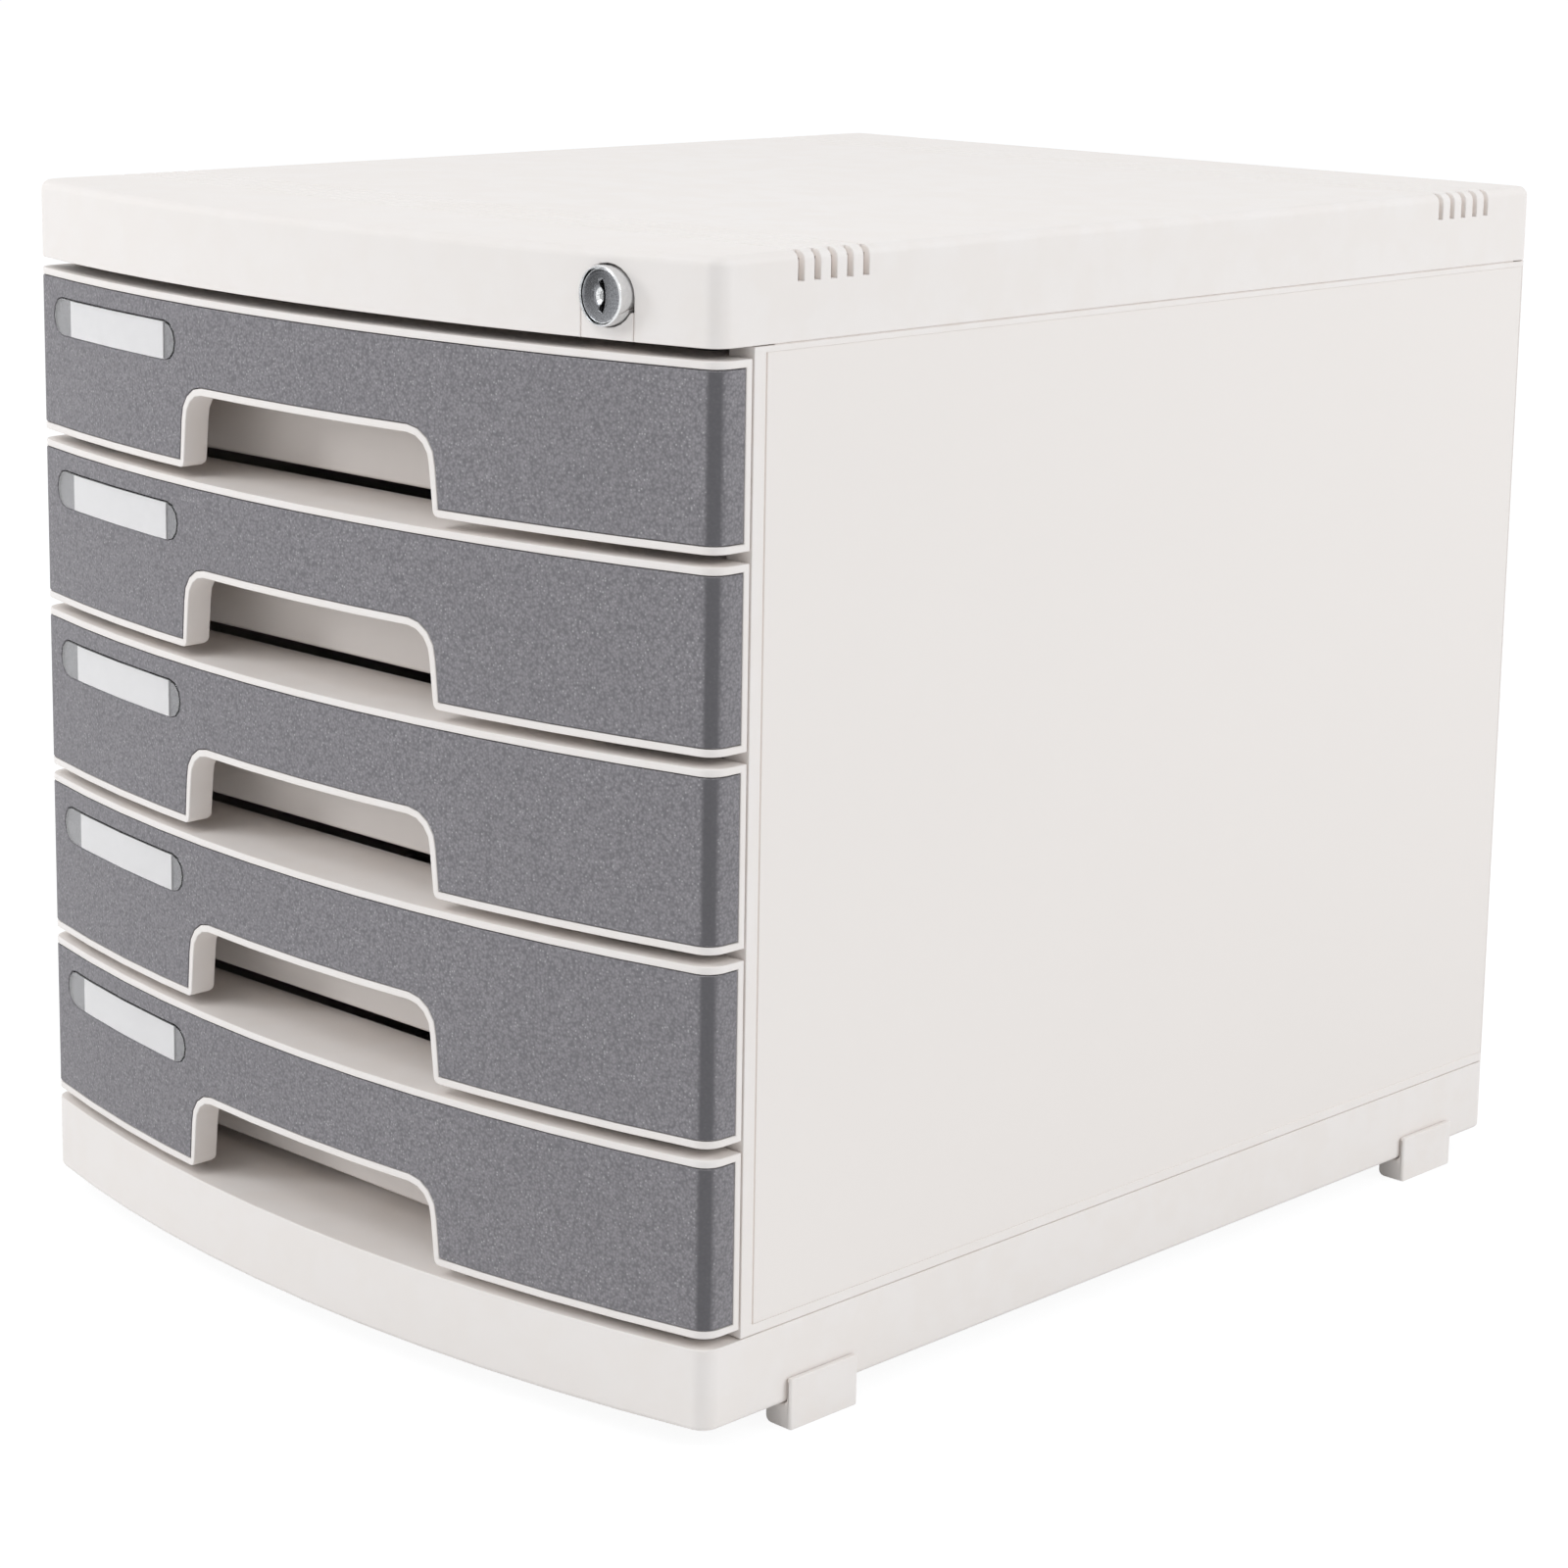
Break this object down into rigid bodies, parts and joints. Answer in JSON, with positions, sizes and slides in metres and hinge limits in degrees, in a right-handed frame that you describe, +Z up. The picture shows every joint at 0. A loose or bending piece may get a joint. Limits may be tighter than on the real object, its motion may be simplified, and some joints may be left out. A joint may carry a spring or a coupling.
{
  "type": "desktop file drawer cabinet",
  "caption": "Desktop drawer cabinet with bowed drawer fronts, finger cut-outs, label windows, a vented cover, corner feet and a cam lock that bars the drawers.",
  "frame": {"origin": "on the desk under the middle of the bounding box, at the underside of the feet", "axes": "+Z up, +X to the right of someone who faces the drawers, the drawers open towards -Y"},
  "size_m": [0.304, 0.392, 0.3278],
  "materials": {
    "shell_plastic": "off-white moulded ABS, fine satin grain",
    "panel_plastic": "cool grey, fine spark-eroded texture",
    "lens_plastic": "clear polished plastic",
    "label_paper": "white paper card",
    "lock_chrome": "bright plated, circular brushed face",
    "lock_steel": "zinc-plated steel"
  },
  "bodies": {
    "housing": {"top_cover": "shell_plastic", "base": "shell_plastic", "left_side_panel": "shell_plastic", "right_side_panel": "shell_plastic", "back_panel": "shell_plastic", "front_left_foot": "shell_plastic", "front_right_foot": "shell_plastic", "rear_left_foot": "shell_plastic", "rear_right_foot": "shell_plastic", "lock_plate": "shell_plastic", "lock_housing": "lock_chrome", "lock_nut": "lock_steel"},
    "lock_core": {"lock_plug": "lock_chrome", "lock_cam": "lock_steel", "cam_screw": "lock_steel"},
    "lock_slide": {"lock_bar": "lock_steel"},
    "drawer_1": {"drawer_1_tray": "shell_plastic", "drawer_1_panel": "panel_plastic", "drawer_1_label_lens": "lens_plastic", "drawer_1_label_card": "label_paper"},
    "drawer_2": {"drawer_2_tray": "shell_plastic", "drawer_2_panel": "panel_plastic", "drawer_2_label_lens": "lens_plastic", "drawer_2_label_card": "label_paper"},
    "drawer_3": {"drawer_3_tray": "shell_plastic", "drawer_3_panel": "panel_plastic", "drawer_3_label_lens": "lens_plastic", "drawer_3_label_card": "label_paper"},
    "drawer_4": {"drawer_4_tray": "shell_plastic", "drawer_4_panel": "panel_plastic", "drawer_4_label_lens": "lens_plastic", "drawer_4_label_card": "label_paper"},
    "drawer_5": {"drawer_5_tray": "shell_plastic", "drawer_5_panel": "panel_plastic", "drawer_5_label_lens": "lens_plastic", "drawer_5_label_card": "label_paper"}
  },
  "joints": [
    {"name": "drawer_1_slide", "type": "slide", "parent": "housing", "child": "drawer_1", "axis": [0, -1, 0], "range_m": [0, 0.27]},
    {"name": "drawer_2_slide", "type": "slide", "parent": "housing", "child": "drawer_2", "axis": [0, -1, 0], "range_m": [0, 0.27]},
    {"name": "drawer_3_slide", "type": "slide", "parent": "housing", "child": "drawer_3", "axis": [0, -1, 0], "range_m": [0, 0.27]},
    {"name": "drawer_4_slide", "type": "slide", "parent": "housing", "child": "drawer_4", "axis": [0, -1, 0], "range_m": [0, 0.27]},
    {"name": "drawer_5_slide", "type": "slide", "parent": "housing", "child": "drawer_5", "axis": [0, -1, 0], "range_m": [0, 0.27]},
    {"name": "lock_turn", "type": "hinge", "parent": "housing", "child": "lock_core", "pos_m": [0.1158, -0.1773, 0.3155], "axis": [0, 1, 0], "range_deg": [0, 90]},
    {"name": "bar_slide", "type": "slide", "parent": "housing", "child": "lock_slide", "axis": [0, 0, -1], "range_m": [0, 0.008]}
  ],
  "couplings": [
    {"joint": "lock_turn", "follows": "bar_slide", "rad_per_m": 196.3}
  ]
}
